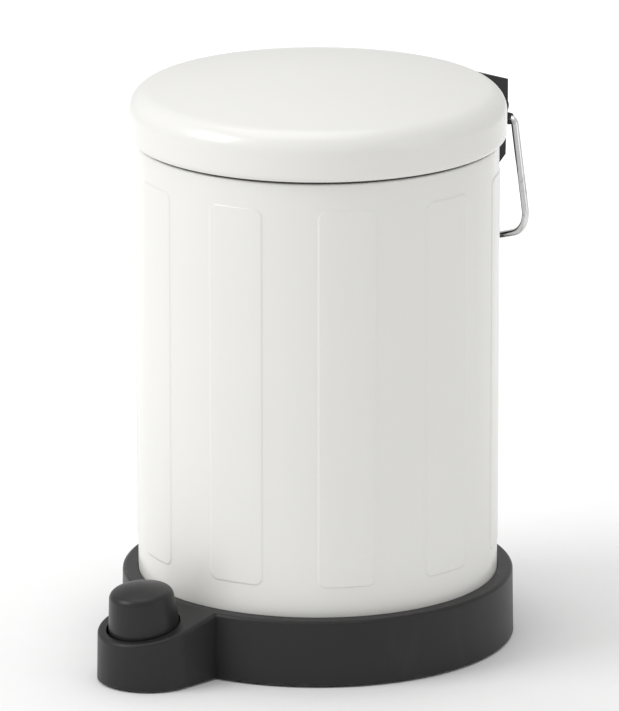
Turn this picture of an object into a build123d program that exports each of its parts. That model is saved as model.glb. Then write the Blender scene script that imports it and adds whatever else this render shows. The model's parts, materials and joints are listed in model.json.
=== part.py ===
"""Pedal bin with a round press knob in front, a domed lid hinged at the back and a wire carry handle.

Millimetres. The origin is on the floor under the middle of the body, +Z is up, the knob points to -Y
and the hinge and the carry handle are on the +Y side.
"""
from build123d import *
import os
from math import cos, radians, sin, tan

os.makedirs("parts", exist_ok=True)

# --- driving dimensions ---------------------------------------------------------------------------
body_radius = 84.0
sheet = 0.8                      # steel sheet of the body
running_gap = 0.05               # radial clearance of pins and holes
plastic_wall = 2.4

foot_height = 1.0                # the base stands this far off the floor on its rubber feet
base_radius = 91.9
base_draft = 0.9                 # degrees, the base narrows upwards
base_top = 31.7
seat_level = 30.0                # the body stands on the base here
seat_radius = 84.4
ledge_under = 27.5
ledge_inner = 70.0

lobe_radius = 23.9
lobe_y = -109.1
lobe_slope = 12.0                # degrees that the lobe's top falls outwards
slope_start_y = -88.6
hole_radius = 17.35
hole_y = -112.0
hole_shift = 0.55                # the hole sits this far in front of the knob's own axis
hole_lip = 0.8                   # thickness of the hole's rim, undercut from below

rim_top = 236.9
bead_radius = 1.1                # rolled bead at the body's top
panel_count = 10
panel_phase = 18.8               # degrees from the front to the first panel's middle
panel_width = 26.6
panel_low = 45.8
panel_high = 224.0
panel_rise = 0.35
panel_corner = 4.0

bucket_rim_radius = 83.4
bucket_top_radius = 78.8
bucket_bottom_radius = 75.0
bucket_floor = 34.0
bucket_wall = 1.6

lid_radius = 87.5
lid_low = 238.0
lid_curl = 3.2
lid_skirt_top = 250.9
lid_shoulder = 11.0
lid_shoulder_sweep = 78.0        # degrees of the shoulder's arc, up to the dome
lid_sheet = 1.0

hinge_y = 100.6
hinge_z = 238.4
hinge_half_width = 21.0
knuckle_radius = 4.5
knuckle_gap = 0.35
hinge_pin_radius = 2.0
hinge_pin_half = 19.4
housing_back = 104.3
housing_low = 204.6
bracket_back = 105.2

crank_length = 13.5
crank_rest = 40.0                # degrees below level while the lid is closed
rod_radius = 1.5
rod_hook = 6.6                   # how far the rod's bent ends reach sideways

pivot_y = -40.0
pivot_z = 24.0
lever_pin_radius = 2.5
lever_half_width = 8.0
lever_sheet = 2.4
lever_tail_z = 5.4

knob_lean = 6.5                  # degrees that the knob's axis leans outwards
knob_radius = 16.5
knob_skirt = 8.5                 # how far the knob reaches down inside the base
knob_face_slope = 6.0            # degrees that the pressed face falls outwards
knob_face_height = 19.5          # height of the face's middle above the hole

handle_y = 100.4
handle_z = 233.6
handle_wire = 1.8

# --- places worked out from them ---------------------------------------------------------------------
rod_rest_y = hinge_y - crank_length * cos(radians(crank_rest))
rod_top_z = hinge_z - crank_length * sin(radians(crank_rest))
rod_swing = crank_length * (1 - cos(radians(crank_rest)))

slope_normal = (0, -sin(radians(lobe_slope)), cos(radians(lobe_slope)))
slope_plane = Plane(origin=(0, slope_start_y, base_top), x_dir=(1, 0, 0), z_dir=slope_normal)
hole_z = base_top + tan(radians(lobe_slope)) * (hole_y - slope_start_y)
hole_plane = Plane(origin=(0, hole_y - hole_shift, hole_z), x_dir=(1, 0, 0), z_dir=slope_normal)
knob_axis = (0, -sin(radians(knob_lean)), cos(radians(knob_lean)))
knob_plane = Plane(origin=(0, hole_y, hole_z), x_dir=(1, 0, 0), z_dir=knob_axis)


def save(part, name):
    """Label a finished piece and write its STEP file."""
    part.label = name
    export_step(part, f"parts/{name}.step")


def ring(inner, outer, low, high):
    """A plain ring about the body's axis."""
    with BuildPart() as made:
        with BuildSketch(Plane.XY.offset(low)):
            Circle(outer)
            Circle(inner, mode=Mode.SUBTRACT)
        extrude(amount=high - low)
    return made.part


def rod_along_x(y, z, radius, x_from, x_to):
    """A round bar parallel to the X axis."""
    with BuildPart() as made:
        with BuildSketch(Plane.YZ.offset(x_from)):
            with Locations((y, z)):
                Circle(radius)
        extrude(amount=x_to - x_from)
    return made.part


def slab_along_x(points, x_from, x_to):
    """A prism parallel to the X axis, from the corners of its outline in (Y, Z)."""
    with BuildPart() as made:
        with BuildSketch(Plane.YZ.offset(x_from)):
            with BuildLine():
                Polyline(*points, close=True)
            make_face()
        extrude(amount=x_to - x_from)
    return made.part


def above_slope(drop):
    """The space above the lobe's sloping top and its run up to the body, lowered by drop."""
    with BuildPart(slope_plane.offset(-drop)) as made:
        with Locations((0, 6, 0)):
            Box(70, 70, 40, align=(Align.CENTER, Align.MAX, Align.MIN))
    return made.part


def around_knob(radius, low, high):
    """A round plug on the knob's axis, between two heights over the hole."""
    with BuildPart(knob_plane.offset(low)) as made:
        Cylinder(radius, high - low, align=(Align.CENTER, Align.CENTER, Align.MIN))
    return made.part


# --- base housing --------------------------------------------------------------------------------------
boss_half_width = 11.0
boss_back = 98.5
rail_inner = 11.0
rail_wall = 2.2
rail_low = 9.0
screw_ring = 77.0
screw_angles = (22, 158, 202, 338)
screw_radius = 2.0
foot_ring = 78.0
foot_angles = (45, 135, 225, 315)
foot_radius = 7.5
foot_thickness = 2.4
foot_stem = 2.5
pin_boss_radius = 5.0
pin_reach = 15.0


edge_round = 1.8

with BuildPart() as lobe:
    with BuildSketch(Plane.XY.offset(foot_height)):
        with Locations((0, lobe_y / 2)):
            Rectangle(2 * lobe_radius, -lobe_y)
        with Locations((0, lobe_y)):
            Circle(lobe_radius)
    extrude(amount=base_top - foot_height, taper=base_draft)
    add(above_slope(0), mode=Mode.SUBTRACT)
    sloping_top = lobe.faces().filter_by(lambda f: 0.9 < f.normal_at().Z < 0.99)
    fillet(sloping_top.edges().filter_by(lambda e: e.center().Y < slope_start_y - 1), radius=edge_round)
    with Locations((0, -ledge_inner / 2, foot_height)):
        Box(3 * lobe_radius, ledge_inner, base_top, align=(Align.CENTER, Align.CENTER, Align.MIN),
            mode=Mode.SUBTRACT)

with BuildPart() as lobe_cavity:
    with BuildSketch(Plane.XY.offset(foot_height)):
        with Locations((0, (lobe_y - ledge_inner) / 2)):
            Rectangle(2 * (lobe_radius - plastic_wall), -lobe_y - ledge_inner)
        with Locations((0, lobe_y)):
            Circle(lobe_radius - plastic_wall)
    extrude(amount=base_top - foot_height, taper=base_draft)
    add(above_slope(plastic_wall), mode=Mode.SUBTRACT)
    with Locations((0, -seat_radius - 0.6, foot_height)):
        Box(3 * lobe_radius, ledge_inner, base_top, align=(Align.CENTER, Align.MIN, Align.MIN),
            mode=Mode.SUBTRACT)

with BuildPart() as base_housing:
    with BuildSketch(Plane.XZ):
        with BuildLine():
            narrowed = base_radius - tan(radians(base_draft)) * (base_top - foot_height)
            Polyline((0, base_top), (0, foot_height), (base_radius, foot_height), (narrowed, base_top),
                     close=True)
        make_face()
    revolve(axis=Axis.Z)
    top_circle = base_housing.edges().filter_by(GeomType.CIRCLE).group_by(Axis.Z)[-1]
    fillet(top_circle, radius=edge_round)
    add(above_slope(0), mode=Mode.SUBTRACT)
    add(lobe.part)
    with BuildSketch(Plane.XY.offset(foot_height)):
        with Locations((0, boss_back / 2)):
            RectangleRounded(2 * boss_half_width, boss_back, 2)
    extrude(amount=base_top - foot_height - 0.4)
    # hollow from below: under the ledge, inside the lobe and inside the rear boss
    with BuildSketch(Plane.XY.offset(foot_height)):
        Circle(base_radius - plastic_wall)
    extrude(amount=ledge_under - foot_height, mode=Mode.SUBTRACT)
    add(lobe_cavity.part, mode=Mode.SUBTRACT)
    with Locations((0, (boss_back - plastic_wall) / 2, foot_height)):
        Box(2 * (boss_half_width - plastic_wall), boss_back - plastic_wall, ledge_under - foot_height,
            align=(Align.CENTER, Align.CENTER, Align.MIN), mode=Mode.SUBTRACT)
    # rails that carry the lever's axle, and the posts of the feet
    with BuildSketch(Plane.XY.offset(rail_low)):
        for side in (-1, 1):
            with Locations((side * (rail_inner + rail_wall / 2), 0)):
                Rectangle(rail_wall, 2 * (base_radius - plastic_wall - 1.5))
    extrude(amount=ledge_under - rail_low)
    with BuildSketch(Plane.XY.offset(foot_thickness)):
        with Locations(*[Pos(foot_ring * cos(radians(a)), foot_ring * sin(radians(a))) for a in foot_angles]):
            Circle(foot_radius)
    extrude(amount=ledge_under - foot_thickness)
    for side in (-1, 1):
        boss_ends = sorted((side * (rail_inner - 1.5), side * pin_reach))
        add(rod_along_x(pivot_y, pivot_z, pin_boss_radius, *boss_ends))
    # openings
    with BuildSketch(Plane.XY.offset(foot_height)):
        Circle(ledge_inner)
        with Locations((0, 0)):
            Rectangle(2 * (pin_reach + 2), 4 * ledge_inner, mode=Mode.SUBTRACT)
    extrude(amount=base_top, mode=Mode.SUBTRACT)
    with BuildSketch(Plane.XY.offset(ledge_under)):
        Circle(ledge_inner)
    extrude(amount=base_top, mode=Mode.SUBTRACT)
    with BuildSketch(Plane.XY.offset(seat_level)):
        Circle(seat_radius)
    extrude(amount=base_top, mode=Mode.SUBTRACT)
    with BuildSketch(Plane.XY.offset(ledge_under - 0.1)):
        with Locations((0, hinge_y - crank_length + rod_swing / 2)):
            SlotOverall(rod_swing + 2 * rod_radius + 1.6, 2 * rod_radius + 2.0, rotation=90)
    extrude(amount=base_top, mode=Mode.SUBTRACT)
    with BuildSketch(hole_plane.offset(-3 * plastic_wall)):
        Circle(hole_radius)
    extrude(amount=6 * plastic_wall, mode=Mode.SUBTRACT)
    with BuildSketch(hole_plane.offset(-3 * plastic_wall)):
        Circle(hole_radius + 0.7)
    extrude(amount=3 * plastic_wall - hole_lip, mode=Mode.SUBTRACT)
    add(rod_along_x(pivot_y, pivot_z, lever_pin_radius + running_gap, -pin_reach - 1, pin_reach + 1),
        mode=Mode.SUBTRACT)
    with Locations(*[Pos(foot_ring * cos(radians(a)), foot_ring * sin(radians(a)), foot_thickness)
                     for a in foot_angles]):
        Cylinder(foot_stem + running_gap, 8, align=(Align.CENTER, Align.CENTER, Align.MIN), mode=Mode.SUBTRACT)
    with Locations(*[Pos(screw_ring * cos(radians(a)), screw_ring * sin(radians(a)), ledge_under - 1)
                     for a in screw_angles]):
        Cylinder(screw_radius + running_gap, 8, align=(Align.CENTER, Align.CENTER, Align.MIN),
                 mode=Mode.SUBTRACT)
save(base_housing.part, "base_housing")

with BuildPart() as rubber_feet:
    for angle in foot_angles:
        with Locations((foot_ring * cos(radians(angle)), foot_ring * sin(radians(angle)), 0)):
            Cylinder(foot_radius - 0.4, foot_thickness, align=(Align.CENTER, Align.CENTER, Align.MIN))
            Cylinder(foot_stem, foot_thickness + 6, align=(Align.CENTER, Align.CENTER, Align.MIN))
    pads = rubber_feet.edges().filter_by(GeomType.CIRCLE).group_by(Axis.Z)[0]
    fillet(pads, radius=0.8)
save(rubber_feet.part, "rubber_feet")

# --- body shell, floor and bucket ---------------------------------------------------------------------
flange_inner = 73.0
floor_low = seat_level + sheet
floor_sheet = 0.8
screw_head = 3.8
screw_head_height = 1.9
nut_radius = 3.4
nut_height = 1.5
bead_level = rim_top - bead_radius
housing_screw_x = 14.2
housing_screw_levels = (213.0, 224.5)
housing_screw_radius = 1.5
channel_rivet_x = 7.4
channel_rivet_levels = (62.0, 119.0, 176.0)
channel_rivet_radius = 1.2


def screw_places(level):
    """The four places of the screws under the body, at one height."""
    return [Pos(screw_ring * cos(radians(a)), screw_ring * sin(radians(a)), level) for a in screw_angles]


def bars_along_y(radius, x_places, levels, y_from, y_to):
    """Round bars parallel to the Y axis, one at each crossing of x_places and levels."""
    with BuildPart() as made:
        with BuildSketch(Plane.XZ.offset(-y_from)):
            with Locations(*[(x, z) for x in x_places for z in levels]):
                Circle(radius)
        extrude(amount=y_from - y_to)
    return made.part


panel_skin = ring(body_radius - 0.3, body_radius + panel_rise, panel_low, panel_high)
with BuildPart() as panels:
    for index in range(panel_count):
        with BuildSketch(Plane.XZ.rotated((0, 0, panel_phase + index * 360 / panel_count))):
            with Locations((0, (panel_low + panel_high) / 2)):
                RectangleRounded(panel_width, panel_high - panel_low, panel_corner)
        extrude(amount=body_radius + 5)
    add(panel_skin, mode=Mode.INTERSECT)

with BuildPart() as body_shell:
    with BuildSketch(Plane.XZ):
        with BuildLine():
            Polyline((flange_inner, seat_level), (body_radius, seat_level), (body_radius, bead_level),
                     (body_radius - sheet, bead_level), (body_radius - sheet, seat_level + sheet),
                     (flange_inner, seat_level + sheet), close=True)
        make_face()
        with Locations((body_radius - bead_radius, bead_level)):
            Circle(bead_radius)
    revolve(axis=Axis.Z)
    foot_edge = body_shell.edges().filter_by(GeomType.CIRCLE).filter_by(
        lambda e: abs(e.radius - body_radius) < 0.01 and abs(e.center().Z - seat_level) < 0.01)
    fillet(foot_edge, radius=0.7)
    add(panels.part)
    with Locations(*screw_places(seat_level - 1)):
        Cylinder(screw_radius + 0.15, 3, align=(Align.CENTER, Align.CENTER, Align.MIN), mode=Mode.SUBTRACT)
    add(bars_along_y(housing_screw_radius + 0.15, (-housing_screw_x, housing_screw_x),
                     housing_screw_levels, 75, 90), mode=Mode.SUBTRACT)
    add(bars_along_y(channel_rivet_radius + running_gap, (-channel_rivet_x, channel_rivet_x),
                     channel_rivet_levels, 75, 90), mode=Mode.SUBTRACT)
save(body_shell.part, "body_shell")

with BuildPart() as body_floor:
    with BuildSketch(Plane.XY.offset(floor_low)):
        Circle(body_radius - sheet - 0.3)
    extrude(amount=floor_sheet)
    with Locations(*screw_places(floor_low - 1)):
        Cylinder(screw_radius + 0.15, 3, align=(Align.CENTER, Align.CENTER, Align.MIN), mode=Mode.SUBTRACT)
save(body_floor.part, "body_floor")

with BuildPart() as base_screws:
    nut_level = floor_low + floor_sheet
    with Locations(*screw_places(ledge_under - screw_head_height)):
        Cylinder(screw_head, screw_head_height, align=(Align.CENTER, Align.CENTER, Align.MIN))
    with Locations(*screw_places(ledge_under)):
        Cylinder(screw_radius, nut_level - ledge_under, align=(Align.CENTER, Align.CENTER, Align.MIN))
    with BuildSketch(Plane.XY.offset(nut_level)):
        with Locations(*screw_places(0)):
            RegularPolygon(nut_radius, 6)
    extrude(amount=nut_height)
save(base_screws.part, "base_screws")

grip_width = 30.0
grip_height = 6.0
grip_wall = 2.0

with BuildPart() as inner_bucket:
    with BuildSketch(Plane.XZ):
        with BuildLine():
            flange_low = rim_top + 0.05
            flange_high = flange_low + 1.0
            Polyline((0, bucket_floor), (bucket_bottom_radius, bucket_floor), (bucket_top_radius, flange_low),
                     (bucket_rim_radius, flange_low), (bucket_rim_radius, flange_high),
                     (bucket_top_radius - bucket_wall, flange_high),
                     (bucket_bottom_radius - bucket_wall, bucket_floor + bucket_wall),
                     (0, bucket_floor + bucket_wall), close=True)
        make_face()
    revolve(axis=Axis.Z)
    foot_edge = inner_bucket.edges().filter_by(GeomType.CIRCLE).group_by(Axis.Z)[0]
    fillet(foot_edge, radius=3)
    for side in (-1, 1):
        with BuildSketch(Plane.YZ.offset(side * (bucket_top_radius - 0.2) - grip_wall / 2)):
            with Locations((0, flange_low + grip_height / 2)):
                RectangleRounded(grip_width, grip_height + 1, 2.5)
        extrude(amount=grip_wall)
    floor_edge = inner_bucket.edges().filter_by(GeomType.CIRCLE).filter_by(
        lambda e: abs(e.center().Z - bucket_floor - bucket_wall) < 0.01)
    fillet(floor_edge, radius=2)
save(inner_bucket.part, "inner_bucket")

# --- hinge housing, its clamp and the lid's axle -------------------------------------------------------
cavity_half = 7.4
cheek_inner = 14.0
body_clear = body_radius + panel_rise + 0.1
housing_top = 233.6
cheek_back = 102.6               # keeps the cheeks clear of the lid's bracket as it swings over
chamfer_level = 214.8
screw_boss = 3.4
pocket_low = 208.5
pocket_high = 229.0
crank_notch = 3.0
housing_front = 78.0             # inside the body, cut back to the body's curve
screw_head_radius = 2.8
screw_head_face = 80.0
screw_tip = 95.0
handle_bore = 15.5               # the handle's ends reach this far in

with BuildPart() as hinge_housing:
    with BuildSketch(Plane.YZ.offset(-hinge_half_width)):
        with BuildLine():
            Polyline((housing_front, housing_low), (91.4, housing_low), (housing_back - 0.4, chamfer_level),
                     (housing_back, housing_top), (housing_front, housing_top), close=True)
        make_face()
    extrude(amount=2 * hinge_half_width)
    back_corners = hinge_housing.edges().filter_by(
        lambda e: abs(abs(e.center().X) - hinge_half_width) < 0.01 and 92 < e.center().Y)
    fillet(back_corners.filter_by(lambda e: e.center().Z < housing_top - 1), radius=1.2)
    for side in (-1, 1):
        ends = sorted((side * cheek_inner, side * hinge_half_width))
        add(rod_along_x(hinge_y, hinge_z, knuckle_radius, *ends))
        add(slab_along_x([(hinge_y - knuckle_radius, housing_top - 2), (cheek_back, housing_top - 2),
                          (cheek_back, hinge_z), (hinge_y - knuckle_radius, hinge_z)], *ends))
    with BuildSketch(Plane.XY.offset(housing_low)):
        Circle(body_clear)
    extrude(amount=40, mode=Mode.SUBTRACT)
    add(rod_along_x(hinge_y, hinge_z, knuckle_radius + knuckle_gap, -cheek_inner, cheek_inner),
        mode=Mode.SUBTRACT)
    cavity_back = housing_back - 2.5
    add(slab_along_x([(housing_front, housing_low - 1), (cavity_back, housing_low - 1),
                      (cavity_back, housing_top + 1), (housing_front, housing_top + 1)],
                     -cavity_half, cavity_half), mode=Mode.SUBTRACT)
    with Locations((0, housing_back, housing_top)):
        Box(2 * cavity_half, 8, 2 * crank_notch, mode=Mode.SUBTRACT)
    for side in (-1, 1):
        ends = sorted((side * (cavity_half + plastic_wall), side * (hinge_half_width - plastic_wall)))
        add(slab_along_x([(housing_front, pocket_low), (94, pocket_low), (cavity_back, chamfer_level),
                          (cavity_back, pocket_high), (housing_front, pocket_high)], *ends), mode=Mode.SUBTRACT)
    add(bars_along_y(screw_boss, (-housing_screw_x, housing_screw_x), housing_screw_levels,
                     body_clear, cavity_back + 1))
    add(bars_along_y(housing_screw_radius + 0.03, (-housing_screw_x, housing_screw_x),
                     housing_screw_levels, 75, 96), mode=Mode.SUBTRACT)
    pin_bore_half = hinge_pin_half + 0.2
    add(rod_along_x(hinge_y, hinge_z, hinge_pin_radius + running_gap, -pin_bore_half, pin_bore_half),
        mode=Mode.SUBTRACT)
    for side in (-1, 1):
        add(rod_along_x(handle_y, handle_z, handle_wire + running_gap,
                        *sorted((side * handle_bore, side * (hinge_half_width + 1)))), mode=Mode.SUBTRACT)
save(hinge_housing.part, "hinge_housing")

with BuildPart() as hinge_backplate:
    add(ring(body_radius - sheet - 1.3, body_radius - sheet - 0.05, pocket_low, pocket_high))
    with Locations((0, body_radius, (pocket_low + pocket_high) / 2)):
        Box(38, 20, 60, mode=Mode.INTERSECT)
    add(bars_along_y(housing_screw_radius + 0.15, (-housing_screw_x, housing_screw_x),
                     housing_screw_levels, 75, 90), mode=Mode.SUBTRACT)
save(hinge_backplate.part, "hinge_backplate")

with BuildPart() as hinge_screws:
    add(bars_along_y(screw_head_radius, (-housing_screw_x, housing_screw_x), housing_screw_levels,
                     screw_head_face - 1.8, screw_head_face))
    add(bars_along_y(housing_screw_radius, (-housing_screw_x, housing_screw_x), housing_screw_levels,
                     screw_head_face, screw_tip))
save(hinge_screws.part, "hinge_screws")

with BuildPart() as hinge_pin:
    add(rod_along_x(hinge_y, hinge_z, hinge_pin_radius, -hinge_pin_half, hinge_pin_half))
    chamfer(hinge_pin.edges().filter_by(GeomType.CIRCLE), length=0.4)
save(hinge_pin.part, "hinge_pin")

# --- cover of the rod on the back of the body ------------------------------------------------------------
channel_half = 4.7
channel_back = 94.6
channel_wall = 1.6
channel_low = base_top + 0.1
channel_flange_half = 10.2
channel_flange = 1.2
channel_rivet_head = 2.0
channel_rivet_inside = 82.4

with BuildPart() as rod_channel:
    with BuildSketch(Plane.XY.offset(channel_low)):
        with Locations((0, channel_back - 10)):
            RectangleRounded(2 * channel_half, 20, 1.6)
        with BuildSketch(mode=Mode.PRIVATE) as strip:
            Circle(body_clear + channel_flange)
            with Locations((0, body_radius)):
                Rectangle(2 * channel_flange_half, 16, mode=Mode.INTERSECT)
        add(strip.sketch)
        Circle(body_clear, mode=Mode.SUBTRACT)
        with Locations((0, channel_back - channel_wall - 10)):
            Rectangle(2 * (channel_half - channel_wall), 20, mode=Mode.SUBTRACT)
    extrude(amount=housing_low - 0.1 - channel_low)
    add(bars_along_y(channel_rivet_radius + running_gap, (-channel_rivet_x, channel_rivet_x),
                     channel_rivet_levels, 75, 90), mode=Mode.SUBTRACT)
save(rod_channel.part, "rod_channel")

with BuildPart() as channel_rivets:
    rivet_x = (-channel_rivet_x, channel_rivet_x)
    outer_seat = body_clear + channel_flange
    add(bars_along_y(channel_rivet_radius, rivet_x, channel_rivet_levels, channel_rivet_inside, outer_seat))
    add(bars_along_y(channel_rivet_head, rivet_x, channel_rivet_levels, outer_seat, outer_seat + 0.8))
    add(bars_along_y(channel_rivet_head, rivet_x, channel_rivet_levels, channel_rivet_inside - 0.8,
                     channel_rivet_inside))
    outer_faces = channel_rivets.edges().filter_by(GeomType.CIRCLE).group_by(Axis.Y)[-1]
    fillet(outer_faces, radius=0.6)
save(channel_rivets.part, "channel_rivets")

# --- lid -------------------------------------------------------------------------------------------------
rivet_radius = 1.6
rivet_places = (-15.5, -7.0, 7.0, 15.5)
rivet_level = 245.4
rivet_head = 3.0
rivet_tail = 2.6


def lid_solid(inset):
    """The lid as a solid of revolution, shrunk by inset; a shrunk one reaches down to cut the mouth."""
    sweep = radians(lid_shoulder_sweep)
    shoulder = lid_shoulder - inset
    wall = lid_radius - inset
    curl = lid_curl - inset
    crown_edge = (lid_radius - lid_shoulder + shoulder * cos(sweep), lid_skirt_top + shoulder * sin(sweep))
    dome_edge = (lid_radius - lid_shoulder + lid_shoulder * cos(sweep)) / cos(sweep)
    dome_centre = lid_skirt_top - (lid_radius - lid_shoulder) * tan(sweep)
    dome = dome_edge - inset
    low = lid_low - 2 * inset
    with BuildPart() as made:
        with BuildSketch(Plane.XZ):
            with BuildLine():
                Line((0, low), (lid_radius - lid_curl, low))
                if inset:
                    Line((lid_radius - lid_curl, low), (lid_radius - lid_curl, lid_low + inset))
                CenterArc((lid_radius - lid_curl, lid_low + lid_curl), curl, -90, 90)
                Line((wall, lid_low + lid_curl), (wall, lid_skirt_top))
                CenterArc((lid_radius - lid_shoulder, lid_skirt_top), shoulder, 0, lid_shoulder_sweep)
                ThreePointArc(crown_edge, (dome * sin(radians(6)), dome_centre + dome * cos(radians(6))),
                              (0, dome_centre + dome))
                Line((0, dome_centre + dome), (0, low))
            make_face()
        revolve(axis=Axis.Z)
    return made.part


lid_form = lid_solid(0)
lid_hollow = lid_solid(lid_sheet)
with BuildPart() as lid_shell:
    add(lid_form)
    add(lid_hollow, mode=Mode.SUBTRACT)
    add(bars_along_y(rivet_radius + running_gap, rivet_places, (rivet_level,), 75, 95), mode=Mode.SUBTRACT)
save(lid_shell.part, "lid_shell")

bracket_low = 240.6
bracket_wall = 2.4
front_wall = 89.4
knuckle_inner = 8.0
knuckle_outer = 13.6
rib_low = 243.0
crank_from = 2.2
crank_to = 5.2
crank_tab_y = 94.5
crank_tab_z = 246.0
crank_rivet = 1.4
crank_rivet_head = 2.4
crank_hub = 4.2
rod_eye = 2.9

with BuildPart() as lid_bracket:
    with BuildSketch(Plane.YZ.offset(-hinge_half_width)):
        with BuildLine():
            Polyline((80, 258.9), (bracket_back, 251.0), (bracket_back, bracket_low), (80, bracket_low),
                     close=True)
        make_face()
    extrude(amount=2 * hinge_half_width)
    outer_edges = lid_bracket.edges().filter_by(
        lambda e: abs(e.center().Y - bracket_back) < 0.01 and abs(e.center().X) > 1)
    fillet(outer_edges, radius=1.2)
    add(slab_along_x([(front_wall, bracket_low - 1), (bracket_back - bracket_wall, bracket_low - 1),
                      (bracket_back - bracket_wall, 248.8), (front_wall, 253.6)],
                     bracket_wall - hinge_half_width, hinge_half_width - bracket_wall), mode=Mode.SUBTRACT)
    add(lid_form, mode=Mode.SUBTRACT)
    for side in (-1, 1):
        ends = sorted((side * knuckle_inner, side * knuckle_outer))
        add(rod_along_x(hinge_y, hinge_z, knuckle_radius, *ends))
        add(slab_along_x([(hinge_y - knuckle_radius, hinge_z), (bracket_back, hinge_z),
                          (bracket_back, 249.5), (hinge_y - knuckle_radius, 252.5)], *ends))
        cheek_ends = sorted((side * (cheek_inner - 0.3), side * (hinge_half_width + 1)))
        add(rod_along_x(hinge_y, hinge_z, knuckle_radius + knuckle_gap, *cheek_ends), mode=Mode.SUBTRACT)
    add(slab_along_x([(front_wall - 0.5, rib_low), (bracket_back - 1, rib_low), (bracket_back - 1, 250.0),
                      (front_wall - 0.5, 254.5)], -1.0, crank_from))
    add(rod_along_x(hinge_y, hinge_z, knuckle_radius + knuckle_gap, -knuckle_inner + 0.2, knuckle_inner - 0.2),
        mode=Mode.SUBTRACT)
    add(rod_along_x(hinge_y, hinge_z, hinge_pin_radius + running_gap, -19, 19), mode=Mode.SUBTRACT)
    add(rod_along_x(crank_tab_y, crank_tab_z, crank_rivet + running_gap, -2, 3), mode=Mode.SUBTRACT)
    add(bars_along_y(rivet_radius + running_gap, rivet_places, (rivet_level,), 75, 95), mode=Mode.SUBTRACT)
save(lid_bracket.part, "lid_bracket")

with BuildPart() as lid_rivets:
    for place in rivet_places:
        seat = ((lid_radius - lid_sheet) ** 2 - (abs(place) + rivet_head) ** 2) ** 0.5 - 0.03
        add(bars_along_y(rivet_head, (place,), (rivet_level,), seat - 1.0, seat))
        add(bars_along_y(rivet_radius, (place,), (rivet_level,), seat, front_wall))
        add(bars_along_y(rivet_tail, (place,), (rivet_level,), front_wall, front_wall + 1.0))
save(lid_rivets.part, "lid_rivets")

with BuildPart() as lid_crank:
    with BuildSketch(Plane.YZ.offset(crank_from)):
        with BuildSketch(mode=Mode.PRIVATE) as arm:
            with Locations((hinge_y, hinge_z)):
                Circle(crank_hub)
            with Locations((rod_rest_y, rod_top_z)):
                Circle(rod_eye)
            make_hull()
        with BuildSketch(mode=Mode.PRIVATE) as tab:
            with Locations((hinge_y, hinge_z)):
                Circle(crank_hub)
            with Locations((crank_tab_y, crank_tab_z)):
                Circle(rod_eye)
            make_hull()
        add(arm.sketch)
        add(tab.sketch)
        with Locations((hinge_y, hinge_z)):
            Circle(hinge_pin_radius + running_gap, mode=Mode.SUBTRACT)
        with Locations((rod_rest_y, rod_top_z)):
            Circle(rod_radius + running_gap, mode=Mode.SUBTRACT)
        with Locations((crank_tab_y, crank_tab_z)):
            Circle(crank_rivet + running_gap, mode=Mode.SUBTRACT)
    extrude(amount=crank_to - crank_from)
save(lid_crank.part, "lid_crank")

with BuildPart() as crank_rivets:
    add(rod_along_x(crank_tab_y, crank_tab_z, crank_rivet, -1.0, crank_to))
    add(rod_along_x(crank_tab_y, crank_tab_z, crank_rivet_head, -1.9, -1.0))
    add(rod_along_x(crank_tab_y, crank_tab_z, crank_rivet_head, crank_to, crank_to + 0.9))
save(crank_rivets.part, "crank_rivet")

# --- push rod ----------------------------------------------------------------------------------------------
with BuildPart() as push_rod:
    with BuildLine(Plane.XZ.offset(-rod_rest_y)) as rod_line:
        FilletPolyline((rod_hook, lever_tail_z), (0, lever_tail_z), (0, rod_top_z), (rod_hook, rod_top_z),
                       radius=2.0)
    with BuildSketch(Plane(origin=rod_line.line @ 0, z_dir=rod_line.line % 0)):
        Circle(rod_radius)
    sweep(path=rod_line.line)
save(push_rod.part, "push_rod")

with BuildPart() as rod_clips:
    for level in (lever_tail_z, rod_top_z):
        add(rod_along_x(rod_rest_y, level, 2.7, crank_to + 0.25, crank_to + 0.95))
        add(rod_along_x(rod_rest_y, level, rod_radius + 0.02, crank_to, crank_to + 2), mode=Mode.SUBTRACT)
save(rod_clips.part, "rod_clips")

# --- pedal lever, its bearing and the knob -------------------------------------------------------------------
hub_radius = 5.2
bush_radius = 3.5
bush_reach = 9.2
lever_wall = 1.8


def on_knob(across, height):
    """A point (Y, Z) in the knob's middle plane: outwards is negative across, height is over the hole."""
    lean = radians(knob_lean)
    return (hole_y + across * cos(lean) - height * sin(lean), hole_z + across * sin(lean) + height * cos(lean))


tray_end = 82.4                  # the lever's channel ends here, short of the rod
lever_top = [on_knob(-11, -knob_skirt), on_knob(17, -knob_skirt), (-88, 22.0), (-48, 26.0), (-32, 25.5),
             (52, 13.0), (tray_end, lever_tail_z + 3.0)]
lever_bottom = [(tray_end, lever_tail_z - 2.5), (48, 5.5), (-32, 17.0), (-48, 17.0), (-86, 14.0),
                on_knob(12, -knob_skirt - 5.4), on_knob(-11, -knob_skirt - 4.4)]
far_below = -20.0
slot_near = rod_rest_y - rod_swing - 1.0 - rod_radius - 0.5
slot_far = rod_rest_y + rod_radius + 0.6
tail_start = 78.0
tail_half = 3.8
tail_end = slot_far + 1.5
slot_half = 2.6

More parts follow.
